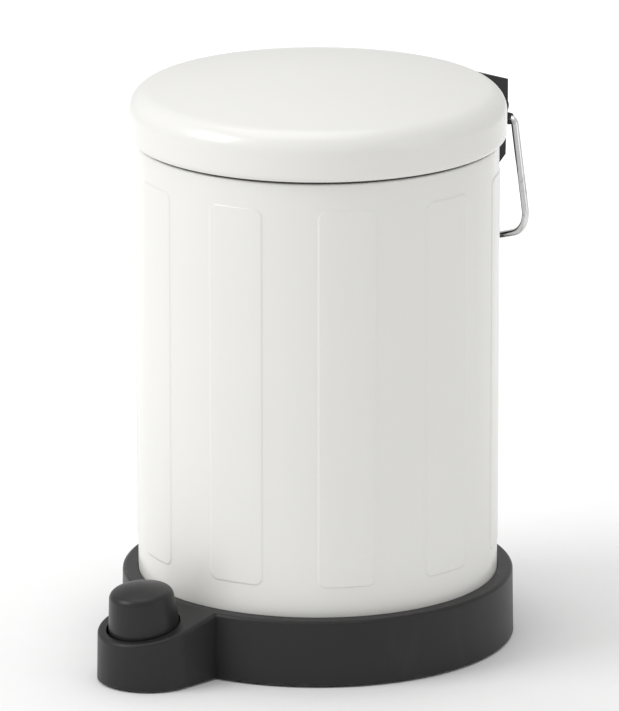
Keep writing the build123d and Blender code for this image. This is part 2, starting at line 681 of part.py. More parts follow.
with BuildPart() as pedal_lever:
    add(slab_along_x(lever_top + lever_bottom, -lever_half_width, lever_half_width))
    add(rod_along_x(pivot_y, pivot_z, hub_radius, -lever_half_width, lever_half_width))
    inner_top = [(y, z - lever_sheet) for y, z in lever_top]
    add(slab_along_x([(inner_top[0][0] - 6, inner_top[0][1] - 0.8)] + inner_top[:-1]
                     + [(tray_end - 2, inner_top[-1][1]), (tray_end - 2, far_below), (-140, far_below)],
                     lever_wall - lever_half_width, lever_half_width - lever_wall), mode=Mode.SUBTRACT)
    add(rod_along_x(pivot_y, pivot_z, hub_radius, -lever_half_width, lever_half_width))
    add(slab_along_x([(tail_start, lever_tail_z - tail_half + 1), (tail_end, lever_tail_z - tail_half),
                      (tail_end, lever_tail_z + tail_half), (tail_start, lever_tail_z + tail_half + 0.5)],
                     crank_from, crank_to - 0.2))
    with BuildSketch(Plane.YZ.offset(-1)):
        with Locations(((slot_near + slot_far) / 2, lever_tail_z)):
            SlotOverall(slot_far - slot_near, 2 * slot_half)
    extrude(amount=8, mode=Mode.SUBTRACT)
    add(rod_along_x(pivot_y, pivot_z, bush_radius + 0.02, -20, 20), mode=Mode.SUBTRACT)
    add(around_knob(1.65, -knob_skirt - 10, -knob_skirt + 5), mode=Mode.SUBTRACT)
save(pedal_lever.part, "pedal_lever")

with BuildPart() as lever_bush:
    add(rod_along_x(pivot_y, pivot_z, bush_radius, -bush_reach, bush_reach))
    add(rod_along_x(pivot_y, pivot_z, lever_pin_radius + running_gap, -20, 20), mode=Mode.SUBTRACT)
save(lever_bush.part, "lever_bush")

with BuildPart() as lever_pin:
    add(rod_along_x(pivot_y, pivot_z, lever_pin_radius, -pin_reach - 2.2, pin_reach + 0.1))
    add(rod_along_x(pivot_y, pivot_z, 4.2, pin_reach + 0.1, pin_reach + 1.6))
save(lever_pin.part, "lever_pin")

with BuildPart() as lever_pin_clip:
    add(rod_along_x(pivot_y, pivot_z, 4.4, -pin_reach - 1.0, -pin_reach - 0.2))
    add(rod_along_x(pivot_y, pivot_z, lever_pin_radius + 0.02, -20, -10), mode=Mode.SUBTRACT)
save(lever_pin_clip.part, "lever_pin_clip")

knob_taper = 6.2
knob_edge = 4.0
knob_hollow = 12.0               # the hollow under the face ends this far above the hole
knob_screw_radius = 1.5
knob_screw_head = 3.2
knob_wall = 2.6
face_lean = radians(knob_face_slope)
face_bulge = 34.0
face_middle = on_knob(0, knob_face_height)
face_centre = (0, face_middle[0] + face_bulge * sin(face_lean), face_middle[1] - face_bulge * cos(face_lean))

with BuildPart() as pedal_knob:
    with BuildSketch(knob_plane):
        Circle(knob_radius)
    extrude(amount=26, taper=knob_taper)
    with BuildSketch(knob_plane.offset(-knob_skirt)):
        Circle(knob_radius)
    extrude(amount=knob_skirt)
    with Locations(Location(face_centre, (0, 90, 0))):
        Sphere(face_bulge, mode=Mode.INTERSECT)
    rim = pedal_knob.edges().filter_by(lambda e: e.center().Z > hole_z + 5)
    fillet(rim, radius=knob_edge)
    with BuildSketch(knob_plane.offset(-knob_skirt)):
        Circle(knob_radius - knob_wall)
        Circle(5, mode=Mode.SUBTRACT)
    extrude(amount=knob_skirt + knob_hollow, taper=4, mode=Mode.SUBTRACT)
    add(around_knob(knob_screw_radius + 0.03, -knob_skirt - 1, 3), mode=Mode.SUBTRACT)
save(pedal_knob.part, "pedal_knob")

with BuildPart() as knob_screw:
    under_lever = -knob_skirt - lever_sheet - 0.05
    add(around_knob(knob_screw_radius, under_lever - 0.1, 2))
    add(around_knob(knob_screw_head, under_lever - 1.8, under_lever))
save(knob_screw.part, "knob_screw")

# --- carry handle ---------------------------------------------------------------------------------------------
leg_top_x = 29.2
corner_x = 38.3
corner_z = 182.0
bar_end_x = 20.0
bar_end_z = 176.0
bar_middle_z = 173.0
wire_end_x = 16.2
shoulder_bend = 2.6
corner_bend = 11.0
collar_radius = 3.3
collar_width = 1.3
sleeve_radius = 2.8
sleeve_end = 26.3
bush_low = hinge_half_width + 0.3

with BuildPart() as carry_handle:
    with BuildLine(Plane.XZ.offset(-handle_y)) as wire:
        FilletPolyline((wire_end_x, handle_z), (leg_top_x, handle_z), (corner_x, corner_z),
                       (bar_end_x, bar_end_z), radius=(shoulder_bend, corner_bend))
        ThreePointArc((bar_end_x, bar_end_z), (0, bar_middle_z), (-bar_end_x, bar_end_z))
        FilletPolyline((-bar_end_x, bar_end_z), (-corner_x, corner_z), (-leg_top_x, handle_z),
                       (-wire_end_x, handle_z), radius=(corner_bend, shoulder_bend))
    with BuildSketch(Plane(origin=wire.line @ 0, z_dir=wire.line % 0)):
        Circle(handle_wire)
    sweep(path=wire.line)
save(carry_handle.part, "carry_handle")

with BuildPart() as handle_bushes:
    for side in (-1, 1):
        collar = sorted((side * bush_low, side * (bush_low + collar_width)))
        sleeve = sorted((side * (bush_low + collar_width - 0.1), side * sleeve_end))
        add(rod_along_x(handle_y, handle_z, collar_radius, *collar))
        add(rod_along_x(handle_y, handle_z, sleeve_radius, *sleeve))
    add(rod_along_x(handle_y, handle_z, handle_wire + 0.02, -sleeve_end - 1, sleeve_end + 1),
        mode=Mode.SUBTRACT)
save(handle_bushes.part, "handle_bushes")
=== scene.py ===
"""Looks of a small pedal bin: enamelled steel body and lid, charcoal plastic foot, wire carry handle.

Metres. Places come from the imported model; a finished piece sits at the origin with its place in its mesh.
"""
import json
from math import acos, atan2, cos, degrees, hypot, pi, radians, sin, tan

import bpy
from mathutils import Matrix, Vector


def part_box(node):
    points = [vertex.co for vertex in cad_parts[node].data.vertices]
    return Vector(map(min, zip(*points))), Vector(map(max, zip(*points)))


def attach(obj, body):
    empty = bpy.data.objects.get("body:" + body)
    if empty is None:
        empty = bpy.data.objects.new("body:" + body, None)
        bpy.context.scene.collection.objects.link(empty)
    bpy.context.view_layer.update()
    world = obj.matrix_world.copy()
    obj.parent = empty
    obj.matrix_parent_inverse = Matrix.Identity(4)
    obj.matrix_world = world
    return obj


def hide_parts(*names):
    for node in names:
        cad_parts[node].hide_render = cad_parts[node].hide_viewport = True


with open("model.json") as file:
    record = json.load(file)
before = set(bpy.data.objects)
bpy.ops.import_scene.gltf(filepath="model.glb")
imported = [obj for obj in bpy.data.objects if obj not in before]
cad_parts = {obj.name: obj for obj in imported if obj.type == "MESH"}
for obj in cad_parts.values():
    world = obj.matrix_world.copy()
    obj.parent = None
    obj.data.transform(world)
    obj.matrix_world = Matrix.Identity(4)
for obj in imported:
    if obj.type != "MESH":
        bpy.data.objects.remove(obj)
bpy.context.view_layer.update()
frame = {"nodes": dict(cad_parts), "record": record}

MM = 0.001
nodes = frame["nodes"]


# --- node trees --------------------------------------------------------------------------------------

class Wire:
    """One output of a node tree. Arithmetic on it adds Math nodes."""

    def __init__(self, tree, socket):
        self.tree = tree
        self.socket = socket

    def math(self, operation, *terms):
        return self.tree.node("ShaderNodeMath", {"operation": operation}, dict(enumerate(terms)))

    def __add__(self, other):
        return self.math("ADD", self, other)

    __radd__ = __add__

    def __mul__(self, other):
        return self.math("MULTIPLY", self, other)

    __rmul__ = __mul__

    def __sub__(self, other):
        return self.math("SUBTRACT", self, other)

    def __rsub__(self, other):
        return self.math("SUBTRACT", other, self)

    def __truediv__(self, other):
        return self.math("DIVIDE", self, other)

    def __rtruediv__(self, other):
        return self.math("DIVIDE", other, self)

    def __abs__(self):
        return self.math("ABSOLUTE", self)

    def at_least(self, other):
        return self.math("MAXIMUM", self, other)

    def at_most(self, other):
        return self.math("MINIMUM", self, other)

    def root(self):
        return self.math("SQRT", self)

    def between(self, low, high):
        """0 at low and 1 at high, smooth between; low may be the larger of the two."""
        return self.tree.node("ShaderNodeMapRange", {"interpolation_type": "SMOOTHSTEP"},
                              {"Value": self, "From Min": low, "From Max": high})


class Tree:
    """A node tree being built."""

    def __init__(self, data):
        self.data = data

    def node(self, kind, settings=None, values=None, output=0):
        """Adds a node: its settings first, then the values or links of its sockets, by name or number."""
        made = self.data.nodes.new(kind)
        for key, value in (settings or {}).items():
            setattr(made, key, value)
        for key, value in (values or {}).items():
            if isinstance(value, Wire):
                self.data.links.new(value.socket, made.inputs[key])
            else:
                made.inputs[key].default_value = value
        return Wire(self, made.outputs[output]) if made.outputs else made


# --- materials ---------------------------------------------------------------------------------------

class Finish(Tree):
    """A material on Object coordinates, with one Principled shader."""

    def __init__(self, name):
        self.material = bpy.data.materials.new(name)
        self.material.use_nodes = True
        super().__init__(self.material.node_tree)
        self.data.nodes.clear()
        self.place = self.node("ShaderNodeTexCoord", output="Object")

    def axis(self, letter):
        return self.node("ShaderNodeSeparateXYZ", None, {0: self.place}, letter)

    def noise(self, scale, detail=3.0, stretch=None):
        place = self.place
        if stretch:
            place = self.node("ShaderNodeMapping", None, {"Vector": place, "Scale": stretch})
        return self.node("ShaderNodeTexNoise", None, {"Vector": place, "Scale": scale, "Detail": detail})

    def cells(self, scale, output="Distance"):
        return self.node("ShaderNodeTexVoronoi", None, {"Vector": self.place, "Scale": scale}, output)

    def mix(self, factor, first, second):
        """The colour first where factor is 0, and second where it is 1."""
        values = {0: factor}
        for key, colour in ((6, first), (7, second)):
            values[key] = colour if isinstance(colour, Wire) else (*colour, 1)
        return self.node("ShaderNodeMix", {"data_type": "RGBA"}, values, 2)

    def bump(self, height, distance, strength=1.0):
        values = {"Height": height, "Distance": distance, "Strength": strength}
        return self.node("ShaderNodeBump", None, values)

    def shade(self, colour, roughness, normal, **constants):
        """The shader: what varies comes in as a wire, and the constants are numbers on its own sockets."""
        values = {"Base Color": colour, "Roughness": roughness, "Normal": normal}
        values.update({name.replace("_", " "): value for name, value in constants.items()})
        shader = self.node("ShaderNodeBsdfPrincipled", None, values, "BSDF")
        self.node("ShaderNodeOutputMaterial", None, {"Surface": shader})
        return self.material


def enamel():
    """Warm white stoved enamel: faint orange peel and clouding; duller towards the floor, and greyer there by
    painted shade of the dark base.
    """
    finish = Finish("white_enamel")
    peel = finish.noise(420, 1)
    cloud = finish.noise(14, 2)
    handled = finish.noise(30, 2).between(0.4, 0.8)
    # Painted shade: this mask runs from 0 at 60 mm to 1 at 28 mm above the floor. It greys the paint to stand
    # in for the dark base's shade and reflection, and also raises the roughness there.
    low_shade_and_dulling = finish.axis("Z").between(60 * MM, 28 * MM)
    colour = finish.mix(cloud.between(0.2, 0.8), (0.825, 0.82, 0.785), (0.835, 0.83, 0.80))
    # painted shade: the colour is mixed up to a fifth of the way towards grey near the base
    colour = finish.mix(low_shade_and_dulling * 0.2, colour, (0.70, 0.69, 0.66))
    roughness = 0.28 + 0.03 * handled + 0.06 * low_shade_and_dulling
    normal = finish.bump(peel, 0.003 * MM, 0.3)
    return finish.shade(colour, roughness, normal, Coat_Weight=0.25, Coat_Roughness=0.12)


def moulded(name, dark, light, rough, grain_size, grain_depth, wear_top):
    """Charcoal moulded plastic: spark-eroded grain, faint scuffs, and rubbed paler below wear_top."""
    finish = Finish(name)
    grain = finish.cells(1 / grain_size)
    fine = finish.noise(0.6 / grain_size, 4)
    scuff = finish.noise(90, 6, (1, 1, 0.25)).between(0.56, 0.74)
    rubbed = finish.axis("Z").between(wear_top, wear_top * 0.2) * finish.noise(160, 4).between(0.45, 0.7)
    colour = finish.mix(finish.noise(22, 3), dark, light)
    colour = finish.mix(scuff * 0.04 + rubbed * 0.10, colour, (0.16, 0.16, 0.165))
    roughness = rough - 0.05 * scuff + 0.08 * rubbed + 0.05 * fine
    normal = finish.bump(grain + 0.6 * fine, grain_depth, 0.6)
    return finish.shade(colour, roughness, normal, Specular_IOR_Level=0.35)


def metal(name, pale, deep, rough, brushed, spangle=0.0):
    """Plain steel: fine lines stretched by the factors brushed, dull patches, and spangle where given."""
    finish = Finish(name)
    lines = finish.noise(900, 3, brushed)
    patches = finish.noise(45, 5)
    colour = finish.mix(patches.between(0.35, 0.75), pale, deep)
    if spangle:
        colour = finish.mix(spangle, colour, finish.cells(160, "Color"))
    roughness = rough + 0.12 * patches.between(0.4, 0.8) + 0.08 * lines
    return finish.shade(colour, roughness, finish.bump(lines, 0.03 * MM, 0.5), Metallic=1.0)


def chrome():
    """Bright plating on drawn wire, with a few dull water marks."""
    finish = Finish("chrome_wire")
    marks = finish.noise(210, 5).between(0.58, 0.7)
    drawn = finish.noise(700, 2, (1, 1, 0.05))
    colour = finish.mix(marks, (0.80, 0.80, 0.81), (0.62, 0.62, 0.62))
    roughness = 0.09 + 0.18 * marks + 0.03 * drawn
    return finish.shade(colour, roughness, finish.bump(drawn, 0.01 * MM, 0.4), Metallic=1.0)


def rubber():
    """Soft black rubber, chalky where it meets the floor."""
    finish = Finish("foot_rubber")
    pores = finish.noise(1500, 3)
    chalk = finish.axis("Z").between(2 * MM, 0) * finish.noise(300, 4)
    colour = finish.mix(chalk, (0.022, 0.022, 0.022), (0.13, 0.125, 0.12))
    return finish.shade(colour, 0.75 + 0.15 * pores, finish.bump(pores, 0.1 * MM, 0.5))


def acetal():
    """Natural acetal of the bearing, waxy and slightly yellow."""
    finish = Finish("bearing_acetal")
    flow = finish.noise(240, 3)
    colour = finish.mix(flow, (0.70, 0.68, 0.62), (0.76, 0.75, 0.70))
    return finish.shade(colour, 0.34 + 0.1 * flow, finish.bump(flow, 0.04 * MM, 0.4), Subsurface_Weight=0.1)


finishes = {
    "white_paint": enamel(),
    "black_plastic": moulded("foot_plastic", (0.013, 0.013, 0.0135), (0.017, 0.017, 0.0175), 0.40, 0.5 * MM,
                             0.02 * MM, 3 * MM),
    "knob_plastic": moulded("knob_plastic", (0.013, 0.013, 0.0135), (0.018, 0.018, 0.0185), 0.34, 0.4 * MM,
                            0.015 * MM, 1 * MM),
    "bucket_plastic": moulded("bucket_plastic", (0.025, 0.026, 0.028), (0.032, 0.033, 0.035), 0.38, 0.7 * MM,
                              0.03 * MM, 1 * MM),
    "rubber": rubber(),
    "bush_plastic": acetal(),
    "zinc_steel": metal("zinc_plate", (0.62, 0.63, 0.64), (0.50, 0.51, 0.53), 0.30, (1, 1, 0.2)),
    "bright_steel": metal("drawn_steel", (0.68, 0.68, 0.68), (0.56, 0.56, 0.56), 0.20, (1, 1, 0.06)),
    "lever_steel": metal("galvanised_sheet", (0.55, 0.56, 0.57), (0.44, 0.45, 0.46), 0.38, (1, 0.1, 1), 0.06),
    "chrome_wire": chrome(),
}
slot_of = {part["node"]: part["material_slot"] for part in frame["record"]["subparts"]}
body_of = {name: body for body, members in frame["record"]["behaviour"]["bodies"].items() for name in members}


# --- mesh helpers ------------------------------------------------------------------------------------

def finished(name, points, faces, *replaced, smooth=60):
    """A mesh object that stands for CAD nodes: it takes their body, slot and finish."""
    mesh = bpy.data.meshes.new(name)
    mesh.from_pydata(points, [], faces)
    piece = bpy.data.objects.new(name, mesh)
    return settled(piece, *replaced, smooth=smooth)


def settled(piece, *replaced, smooth=60):
    """Smooth shading, finish, slot and body of a new piece, from the first node that it replaces."""
    if piece.name not in bpy.context.scene.objects:
        bpy.context.scene.collection.objects.link(piece)
    slot = slot_of[replaced[0]]
    piece.data.materials.clear()
    piece.data.materials.append(finishes[slot])
    piece.data.shade_smooth()
    piece.data.set_sharp_from_angle(angle=radians(smooth))
    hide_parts(*replaced)
    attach(piece, body_of[replaced[0]])
    return piece


def arc(across, up, radius, start, end, steps):
    """Points of an arc, in degrees from the outward direction, both ends included."""
    turn = [radians(start + (end - start) * i / steps) for i in range(steps + 1)]
    return [(across + radius * cos(t), up + radius * sin(t)) for t in turn]


def run(start, end, pitch):
    """Points from start towards end, end left out, about pitch apart."""
    steps = max(1, round(hypot(end[0] - start[0], end[1] - start[1]) / pitch))
    return [tuple(a + (b - a) * i / steps for a, b in zip(start, end)) for i in range(steps)]


def turned(outline, angles, closed=True):
    """Points and faces of an outline of (radius, height) turned about Z; a radius of 0 is one pole."""
    points, rings = [], []
    for radius, height in outline:
        if radius < 1e-6:
            points.append((0, 0, height))
            rings.append([len(points) - 1] * len(angles))
        else:
            rings.append([len(points) + i for i in range(len(angles))])
            points += [(radius * cos(a), radius * sin(a), height) for a in angles]
    faces = []
    pairs = list(zip(rings, rings[1:])) + ([(rings[-1], rings[0])] if closed else [])
    for low, high in pairs:
        for i in range(len(angles)):
            j = (i + 1) % len(angles)
            corner = [low[i], low[j], high[j], high[i]]
            faces.append([v for k, v in enumerate(corner) if v != corner[k - 1]])
    return points, [face for face in faces if len(face) > 2]


def evenly(count):
    """Angles of a full turn in equal steps."""
    return [2 * pi * i / count for i in range(count)]


# --- body --------------------------------------------------------------------------------------------
SHEET = 0.8 * MM
BEAD = 1.1 * MM                  # radius of the rolled upper edge
PANELS = 10
PANEL_PHASE = radians(-90 + 18.8)
PANEL_WIDTH = 26.6 * MM
PANEL_LOW = 45.8 * MM
PANEL_HIGH = 224 * MM
PANEL_CORNER = 4 * MM
PANEL_RISE = 0.38 * MM
PANEL_EDGE = 0.8 * MM            # width of the pressed step around a panel
FINE = 0.30 * MM                 # mesh pitch where the step runs
COARSE = 8 * MM                  # and at most this elsewhere
WALL_START = 1 * MM              # where the wall's evenly divided part starts, above its lowest edge
FLANGE = 73 * MM                 # the body's wall turns in under the floor as far as this radius
FOOT_BEND = 0.7 * MM
FLOOR_GAP = 0.3 * MM             # between the floor's disc and the wall

body_low, body_high = (corner.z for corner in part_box("body_shell"))
body_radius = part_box("body_floor")[1].x + SHEET + FLOOR_GAP


def panel_tree():
    """Geometry nodes that press a row of raised, round-cornered panels outwards into a round sheet."""
    data = bpy.data.node_groups.new("press_panels", "GeometryNodeTree")
    sizes = {"Radius": body_radius, "Count": float(PANELS), "Phase": PANEL_PHASE, "Width": PANEL_WIDTH,
             "Low": PANEL_LOW, "High": PANEL_HIGH, "Corner": PANEL_CORNER, "Rise": PANEL_RISE,
             "Edge": PANEL_EDGE, "Sheet": SHEET}
    data.interface.new_socket("Geometry", in_out="INPUT", socket_type="NodeSocketGeometry")
    for name in sizes:
        data.interface.new_socket(name, in_out="INPUT", socket_type="NodeSocketFloat")
    data.interface.new_socket("Geometry", in_out="OUTPUT", socket_type="NodeSocketGeometry")
    tree = Tree(data)
    inputs = data.nodes.new("NodeGroupInput")
    size = {name: Wire(tree, inputs.outputs[name]) for name in sizes}
    position = tree.node("GeometryNodeInputPosition")
    x, y, z = (tree.node("ShaderNodeSeparateXYZ", None, {0: position}, letter) for letter in "XYZ")
    radius = (x * x + y * y).root()
    pitch = 2 * pi / size["Count"]
    turn = y.math("ARCTAN2", y, x) - size["Phase"]
    across = abs(turn.math("WRAP", turn, pitch / 2, pitch / -2)) * size["Radius"]
    along = abs(z - (size["Low"] + size["High"]) / 2)
    past_side = across - size["Width"] / 2 + size["Corner"]
    past_end = along - (size["High"] - size["Low"]) / 2 + size["Corner"]
    corner_x = past_side.at_least(0)
    corner_y = past_end.at_least(0)
    outside = (corner_x * corner_x + corner_y * corner_y).root() - size["Corner"]
    outside = outside + past_side.at_least(past_end).at_most(0)
    on_skin = radius.math("GREATER_THAN", radius, size["Radius"] - size["Sheet"] / 4)
    lift = outside.between(size["Edge"] / 2, size["Edge"] / -2) * size["Rise"] * on_skin
    offset = tree.node("ShaderNodeCombineXYZ", None, {"X": x / radius * lift, "Y": y / radius * lift})
    moved = tree.node("GeometryNodeSetPosition", None,
                      {"Geometry": Wire(tree, inputs.outputs["Geometry"]), "Offset": offset})
    real = tree.node("GeometryNodeRealizeInstances", None, {"Geometry": moved})
    paint = finishes["white_paint"]
    painted = tree.node("GeometryNodeSetMaterial", None, {"Geometry": real, "Material": paint})
    tree.node("NodeGroupOutput", None, {"Geometry": painted})
    return data, sizes


def grown(name, points, faces, data, values):
    """The plain mesh object that a geometry node tree, with these input values, makes of a starting mesh."""
    start = bpy.data.meshes.new(name + "_start")
    start.from_pydata(points, [], faces)
    carrier = bpy.data.objects.new(name + "_start", start)
    bpy.context.scene.collection.objects.link(carrier)
    modifier = carrier.modifiers.new(name, "NODES")
    modifier.node_group = data
    for socket in data.interface.items_tree:
        if socket.in_out == "INPUT" and socket.name in values:
            modifier[socket.identifier] = values[socket.name]
    bpy.context.view_layer.update()
    evaluated = carrier.evaluated_get(bpy.context.evaluated_depsgraph_get())
    mesh = bpy.data.meshes.new_from_object(evaluated)
    mesh.name = name
    bpy.data.objects.remove(carrier)
    return bpy.data.objects.new(name, mesh)


def spread(low, high, edges, near):
    """Places from low to high, FINE apart within near of each edge and coarse elsewhere."""
    places, at = [], low
    while at < high - FINE / 2:
        places.append(at)
        close = min(abs(at + FINE - edge) for edge in edges) < near
        gap = min((edge - near - at for edge in edges if edge - near > at + FINE), default=high - at)
        at += FINE if close else max(FINE, min(gap, COARSE))
    return places + [high]


def body():
    """The pressed steel sheet: flange under the floor, panelled wall and rolled bead."""
    half = PANEL_WIDTH / 2
    pitch = 2 * pi * body_radius / PANELS
    one_panel = spread(-pitch / 2, pitch / 2, (PANEL_CORNER / 2 - half, half - PANEL_CORNER / 2),
                       PANEL_CORNER / 2 + PANEL_EDGE)[:-1]
    angles = [PANEL_PHASE + (index * pitch + across) / body_radius for index in range(PANELS)
              for across in one_panel]
    inset = PANEL_CORNER / 2
    heights = spread(body_low + WALL_START, body_high - BEAD, (PANEL_LOW + inset, PANEL_HIGH - inset),
                     inset + PANEL_EDGE)
    inner = body_radius - SHEET
    outline = [(FLANGE, body_low), (inner - FOOT_BEND, body_low)]
    outline += arc(body_radius - FOOT_BEND, body_low + FOOT_BEND, FOOT_BEND, -90, 0, 4)
    outline += [(body_radius, height) for height in heights]
    outline += arc(body_radius - BEAD, body_high - BEAD, BEAD, 0, 250, 10)[1:]
    outline += [(inner, body_high - 3 * BEAD), (inner, body_low + 2 * SHEET),
                (inner - FOOT_BEND, body_low + SHEET), (FLANGE, body_low + SHEET)]
    return settled(grown("body_sheet", *turned(outline, angles), *panel_tree()), "body_shell", smooth=50)


# --- lid ---------------------------------------------------------------------------------------------
LID_SHEET = 1.0 * MM
LID_CURL = 3.2 * MM              # radius of the turned-in lower edge
LID_SHOULDER = 11 * MM
SHOULDER_SWEEP = 78              # degrees, from the upright skirt to where the crown starts
CROWN_STEPS = 30
SKIRT_PITCH = 2 * MM
LID_SKIRT = 12.9 * MM            # from the lid's lowest edge up to where the shoulder starts

lid_low, lid_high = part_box("lid_shell")


def lid_outline(inset):
    """One side of the lid's sheet from the curled edge to the crown."""
    radius = lid_high.x
    curl = LID_CURL - inset
    shoulder = LID_SHOULDER - inset
    shoulder_x, shoulder_z = radius - LID_SHOULDER, lid_low.z + LID_SKIRT
    points = arc(radius - LID_CURL, lid_low.z + LID_CURL, curl, -90, 0, 10)
    points += run(points.pop(), (radius - inset, shoulder_z), SKIRT_PITCH)
    points += arc(shoulder_x, shoulder_z, shoulder, 0, SHOULDER_SWEEP, 26)
    edge_x, edge_z = points[-1]
    crown = lid_high.z - inset
    drop = crown - edge_z
    dome = (edge_x ** 2 + drop ** 2) / (2 * drop)
    reach = acos((dome - drop) / dome)
    for i in range(1, CROWN_STEPS):
        lean = reach * (1 - i / CROWN_STEPS)
        points.append((dome * sin(lean), crown - dome + dome * cos(lean)))
    return points + [(0, crown)]


def lid():
    """The domed lid: one sheet with a curled lower edge."""
    outside = lid_outline(0)
    inside = lid_outline(LID_SHEET)
    points, faces = turned(outside + inside[::-1], evenly(240))
    return finished("lid_sheet", points, faces, "lid_shell", smooth=70)


# --- inner bucket ------------------------------------------------------------------------------------
BUCKET_WALL = 1.6 * MM
BUCKET_DRAFT = 3.8 * MM          # how much narrower the bottom is than the top
BUCKET_BEND = 4 * MM
BUCKET_PITCH = 12 * MM           # mesh pitch along its straight stretches
RIM_REACH = 4.6 * MM             # how far the rim stands out from the wall
RIM_THICK = 1 * MM
MOUTH_BEND = 0.8 * MM
GRIP_HALF = 15 * MM
GRIP_CORNER = 2.5 * MM
GRIP_THICK = 1 * MM              # half of the tab's thickness
GRIP_BEVEL = 0.4 * MM
GRIP_INSET = 0.2 * MM            # keeps the tab just inside the wall's outside
REST_GAP = 0.05 * MM

bucket_low, bucket_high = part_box("inner_bucket")
rim_low = body_high + REST_GAP   # the rim rests on the body's rolled edge
bucket_top = bucket_high.y - RIM_REACH


def bucket():
    """The lift-out bucket: tapered wall, rounded floor, turned-out rim, and two finger grips."""
    low = bucket_low.z
    floor = low + BUCKET_WALL
    bottom = bucket_top - BUCKET_DRAFT - BUCKET_BEND
    rim = RIM_THICK / 2
    outline = run((0, low), (bottom, low), BUCKET_PITCH)
    outline += arc(bottom, low + BUCKET_BEND, BUCKET_BEND, -90, 0, 8)
    outline += run(outline.pop(), (bucket_top, rim_low), BUCKET_PITCH) + [(bucket_top, rim_low)]
    outline += arc(bucket_high.y - rim, rim_low + rim, rim, -90, 90, 6)
    mouth = bucket_top - BUCKET_WALL + MOUTH_BEND
    outline += arc(mouth, rim_low + RIM_THICK - MOUTH_BEND, MOUTH_BEND, 90, 180, 5)
    outline += run(outline.pop(), (bottom + BUCKET_BEND - BUCKET_WALL, floor + BUCKET_BEND), BUCKET_PITCH)
    outline += arc(bottom - BUCKET_WALL, floor + BUCKET_BEND, BUCKET_BEND, 0, -90, 8)
    outline += run(outline.pop(), (0, floor), BUCKET_PITCH) + [(0, floor)]
    points, faces = turned(outline, evenly(200), closed=False)
    for side in (-1, 1):
        add_grip(points, faces, side * (bucket_top - GRIP_INSET))
    return finished("bucket_shell", points, faces, "inner_bucket", smooth=50)


def add_grip(points, faces, centre):
    """Adds one finger grip to a mesh: an upright tab across X, bevelled and with round top corners."""
    base, top = rim_low + RIM_THICK, bucket_high.z
    corner = arc(GRIP_HALF - GRIP_CORNER, top - GRIP_CORNER, GRIP_CORNER, 0, 90, 6)
    right = [(GRIP_HALF, base - RIM_THICK)] + corner
    edge = [(-y, z) for y, z in right] + right[::-1]
    flat = GRIP_THICK - GRIP_BEVEL
    first, count = len(points), len(edge)
    for across, shrink in ((-GRIP_THICK, GRIP_BEVEL), (-flat, 0), (flat, 0), (GRIP_THICK, GRIP_BEVEL)):
        points += [(centre + across, y * (1 - shrink / GRIP_HALF), z - (shrink if z > base else 0))
                   for y, z in edge]
    for low in range(first, first + 3 * count, count):
        for i in range(count):
            j = (i + 1) % count
            faces.append([low + count + i, low + count + j, low + j, low + i])
    faces.append(list(range(first, first + count)))
    faces.append(list(range(first + 3 * count, first + 4 * count))[::-1])


# --- carry handle ------------------------------------------------------------------------------------
EYE_REACH = 16.2 * MM            # the wire's ends reach in to this distance from the middle
LEG_TOP = 29.2 * MM
LEG_TOP_BEND = 2.6 * MM
LEG_FOOT = 38.3 * MM
LEG_FOOT_BEND = 11 * MM
BAR_HALF = 20 * MM               # half of the sagging middle of the bar
BAR_SAG = 3 * MM
BAR_RISE = 9 * MM                # the leg's foot above the lowest point of the bar
END_CHAMFER = 0.3                # of the wire's radius


def rounded(corners, radii, steps=8):
    """Points of a path through corners in (X, Z), each inner corner rounded by its own radius."""
    path = [Vector(corners[0])]
    for before, corner, after, radius in zip(corners, corners[1:], corners[2:], radii):
        corner = Vector(corner)
        back, ahead = (Vector(before) - corner).normalized(), (Vector(after) - corner).normalized()
        half = back.angle(ahead) / 2
        centre = corner + (back + ahead).normalized() * radius / sin(half)
        start = corner + back * radius / tan(half)
        end = corner + ahead * radius / tan(half)
        arm = start - centre
        turn = arm.angle_signed(end - centre)
        for i in range(steps + 1):
            path.append(centre + arm.copy() @ Matrix.Rotation(turn * i / steps, 2))
    return path + [Vector(corners[-1])]


def wire_tube(path, y, radius, sides=20):
    """Points and faces of a round wire along a path in the plane of one Y, its ends chamfered."""
    start, end = path[0], path[-1]
    ahead, behind = path[1] - start, end - path[-2]
    inset = radius * END_CHAMFER
    chamfered = 1 - END_CHAMFER
    rings = [(start, ahead, chamfered), (start + ahead.normalized() * inset, ahead, 1)]
    rings += [(at, (after - at).normalized() + (at - before).normalized(), 1)
              for before, at, after in zip(path, path[1:], path[2:])]
    rings += [(end - behind.normalized() * inset, behind, 1), (end, behind, chamfered)]
    points, faces = [], []
    for centre, along, size in rings:
        side = Vector((-along.y, along.x)).normalized()
        for angle in evenly(sides):
            flat = centre + side * cos(angle) * radius * size
            points.append((flat.x, y + sin(angle) * radius * size, flat.y))
    for low in range(0, len(points) - sides, sides):
        for i in range(sides):
            j = (i + 1) % sides
            faces.append([low + i, low + sides + i, low + sides + j, low + j])
    faces += [list(range(sides)), list(range(len(points) - sides, len(points)))[::-1]]
    return points, faces


def handle():
    """The bent wire of the carry handle, its bar sagging slightly in the middle."""
    low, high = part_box("carry_handle")
    radius = (high.y - low.y) / 2
    eye, bar = high.z - radius, low.z + radius
    corners = [(EYE_REACH, eye), (LEG_TOP, eye), (LEG_FOOT, bar + BAR_RISE), (BAR_HALF, bar + BAR_SAG)]
    half = rounded(corners, (LEG_TOP_BEND, LEG_FOOT_BEND))
    steps = 8
    for i in range(1, steps + 1):
        out = 1 - i / steps
        half.append(Vector((BAR_HALF * out, bar + BAR_SAG * out ** 2)))
    path = half + [Vector((-point.x, point.y)) for point in half[-2::-1]]
    return finished("handle_wire", *wire_tube(path, (low.y + high.y) / 2, radius), "carry_handle", smooth=80)


